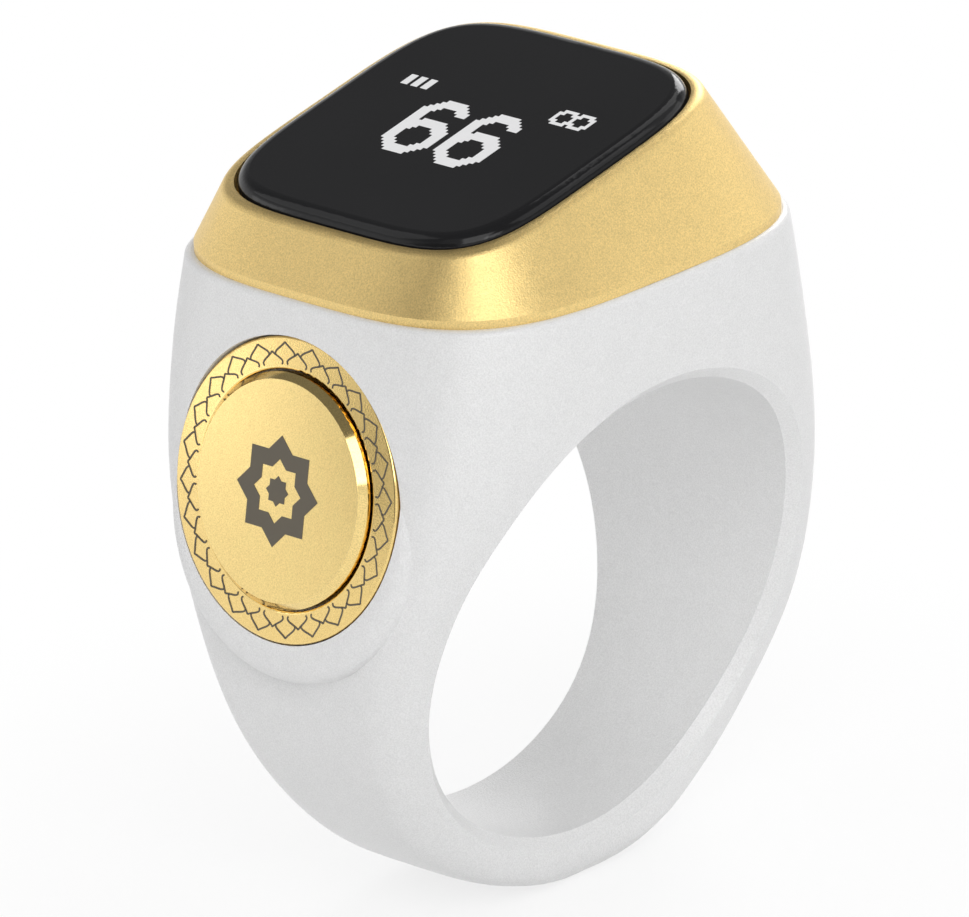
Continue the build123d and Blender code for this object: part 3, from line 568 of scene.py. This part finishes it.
# %% Star inlay on the button
STAR_POINTS = 8
STAR_REACH = 2.25
STAR_WINDOW = 1.30
STAR_HEART = 0.62
STAR_WAIST = cos(pi / 4) / cos(pi / 8)
INLAY_HEIGHT = 0.012 * MM


def add_star(curve, reach):
    """Add a closed outline of two crossed squares."""
    spline = curve.splines.new("POLY")
    spline.points.add(2 * STAR_POINTS - 1)
    for index, point in enumerate(spline.points):
        radius = reach if index % 2 == 0 else reach * STAR_WAIST
        x, y, z = polar(radius, index * pi / STAR_POINTS)
        point.co = (x, y, z, 1)
    spline.use_cyclic_u = True


star = bpy.data.curves.new("button_star", "CURVE")
star.dimensions = "2D"
star.fill_mode = "BOTH"
star.extrude = INLAY_HEIGHT
for reach in (STAR_REACH, STAR_WINDOW, STAR_HEART):
    add_star(star, reach)
star.materials.append(enamel)
button_star = bpy.data.objects.new("button_star", star)
button_star.matrix_world = cap_face
bpy.context.scene.collection.objects.link(button_star)
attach(button_star, "button")
print("star", 2 * STAR_REACH, "mm across")

# %% [markdown]
# The display shows a count in coarse pixels, three battery bars and a small loop sign. A text object would
# give smooth letters, so the shapes are worked out on a grid instead: a cell is lit when its middle lies
# inside a ring with cut corners. Neighbouring cells share their corners, and one extrusion makes a thin
# plate of them just above the glass.

# %% Lit pixels
LIT = (0.66, 0.66, 0.67)
LIT_STRENGTH = 0.72

pixel_paint = grained("pixel_grey", (0.3, 0.3, 0.3), (0.3, 0.4), 0.1, 0.001, specular=0.2)
pixel_shader = pixel_paint.node_tree.nodes["Principled BSDF"]
pixel_shader.inputs["Emission Color"].default_value = (*LIT, 1)
pixel_shader.inputs["Emission Strength"].default_value = LIT_STRENGTH
print("made pixel_grey")

# %% Shapes on the pixel grid
def in_octagon(x, y, width, height, inset, cut):
    """Whether a point lies in a box with cut corners, set in from the box of the whole shape."""
    dx = min(x, width - x) - inset
    dy = min(y, height - y) - inset
    return dx > 0 and dy > 0 and dx + dy > cut


def in_loop(x, y, width, height, stroke, cut):
    """Whether a point lies on the stroke that runs round a box with cut corners."""
    inner_cut = max(0.0, cut - 0.5 * stroke)
    outside = in_octagon(x, y, width, height, 0, cut)
    return outside and not in_octagon(x, y, width, height, stroke, inner_cut)


print("grid shapes ready")

# %% Cells of the figure six
SIX_WIDTH = 14
SIX_HEIGHT = 22
BOWL_HEIGHT = 14
SIX_STROKE = 3
CORNER_CUT = 4
SHOULDER_CUT = 3
WINDOW_CUT = 2.5
STEM_FOOT = 6
HOOK_FOOT = 17
HOOK_END = 13


def six_cells():
    """Cells of a figure six, counted from its lower left corner."""
    middle = SIX_WIDTH / 2
    cells = set()
    for column in range(SIX_WIDTH):
        for row in range(SIX_HEIGHT):
            x, y = column + 0.5, row + 0.5
            cut = SHOULDER_CUT if x > middle and y > middle else CORNER_CUT
            disc = in_octagon(x, y, SIX_WIDTH, BOWL_HEIGHT, 0, cut)
            window = in_octagon(x, y, SIX_WIDTH, BOWL_HEIGHT, SIX_STROKE, WINDOW_CUT)
            on_arch = in_loop(x, y, SIX_WIDTH, SIX_HEIGHT, SIX_STROKE, CORNER_CUT)
            bowl = disc and not window
            stem = on_arch and x < middle and y > STEM_FOOT
            hook = on_arch and x < HOOK_END and y > HOOK_FOOT
            if bowl or stem or hook:
                cells.add((column, row))
    return cells


print(len(six_cells()), "cells in a six")

# %% Cells of the loop sign and the battery bars
LOOP_SIDE = 6
LOOP_STROKE = 1
LOOP_CUT = 1.6
BARS = 3
BAR_WIDTH = 2
BAR_HEIGHT = 4
BAR_STEP = 3


def loop_sign_cells():
    """Cells of a sign of two square loops, which share their middle column."""
    cells = set()
    for column in range(LOOP_SIDE):
        for row in range(LOOP_SIDE):
            if in_loop(column + 0.5, row + 0.5, LOOP_SIDE, LOOP_SIDE, LOOP_STROKE, LOOP_CUT):
                cells.add((column, row))
                cells.add((column + LOOP_SIDE - LOOP_STROKE, row))
    return cells


def bar_cells():
    """Cells of the battery bars, side by side."""
    cells = set()
    for bar in range(BARS):
        for column in range(BAR_WIDTH):
            for row in range(BAR_HEIGHT):
                cells.add((BAR_STEP * bar + column, row))
    return cells


print(len(loop_sign_cells()), "cells in the loop sign,", len(bar_cells()), "in the bars")

# %% Pixel plates on the glass
PIXEL_LIFT = 0.004 * MM
PIXEL_SINK = 0.016 * MM
CELL = 0.183
# Lit cells and their lower left corner in mm, from the middle of the glass
READOUT = {
    "count_tens": (six_cells(), (-2.66, -2.58)),
    "count_ones": (six_cells(), (0.23, -2.58)),
    "loop_sign": (loop_sign_cells(), (3.14, 1.66)),
    "battery_bars": (bar_cells(), (-4.99, 1.74)),
}

for name, (cells, corner) in READOUT.items():
    mesh = bpy.data.meshes.new(name)
    build = bmesh.new()
    points = {}
    for column, row in sorted(cells):
        ring = [(column, row), (column + 1, row), (column + 1, row + 1), (column, row + 1)]
        for key in ring:
            if key not in points:
                x = (corner[0] + key[0] * CELL) * MM
                y = (corner[1] + key[1] * CELL) * MM
                points[key] = build.verts.new((x, y, -PIXEL_SINK))
        build.faces.new([points[key] for key in ring])
    raised = bmesh.ops.extrude_face_region(build, geom=build.faces[:], use_keep_orig=True)
    tops = [item for item in raised["geom"] if isinstance(item, bmesh.types.BMVert)]
    bmesh.ops.translate(build, verts=tops, vec=(0, 0, PIXEL_SINK + PIXEL_LIFT))
    bmesh.ops.recalc_face_normals(build, faces=build.faces[:])
    build.to_mesh(mesh)
    build.free()
    mesh.materials.append(pixel_paint)
    plate = bpy.data.objects.new(name, mesh)
    plate.matrix_world = glass_face
    bpy.context.scene.collection.objects.link(plate)
    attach(plate, "ring")
    print(name, len(cells), "cells")
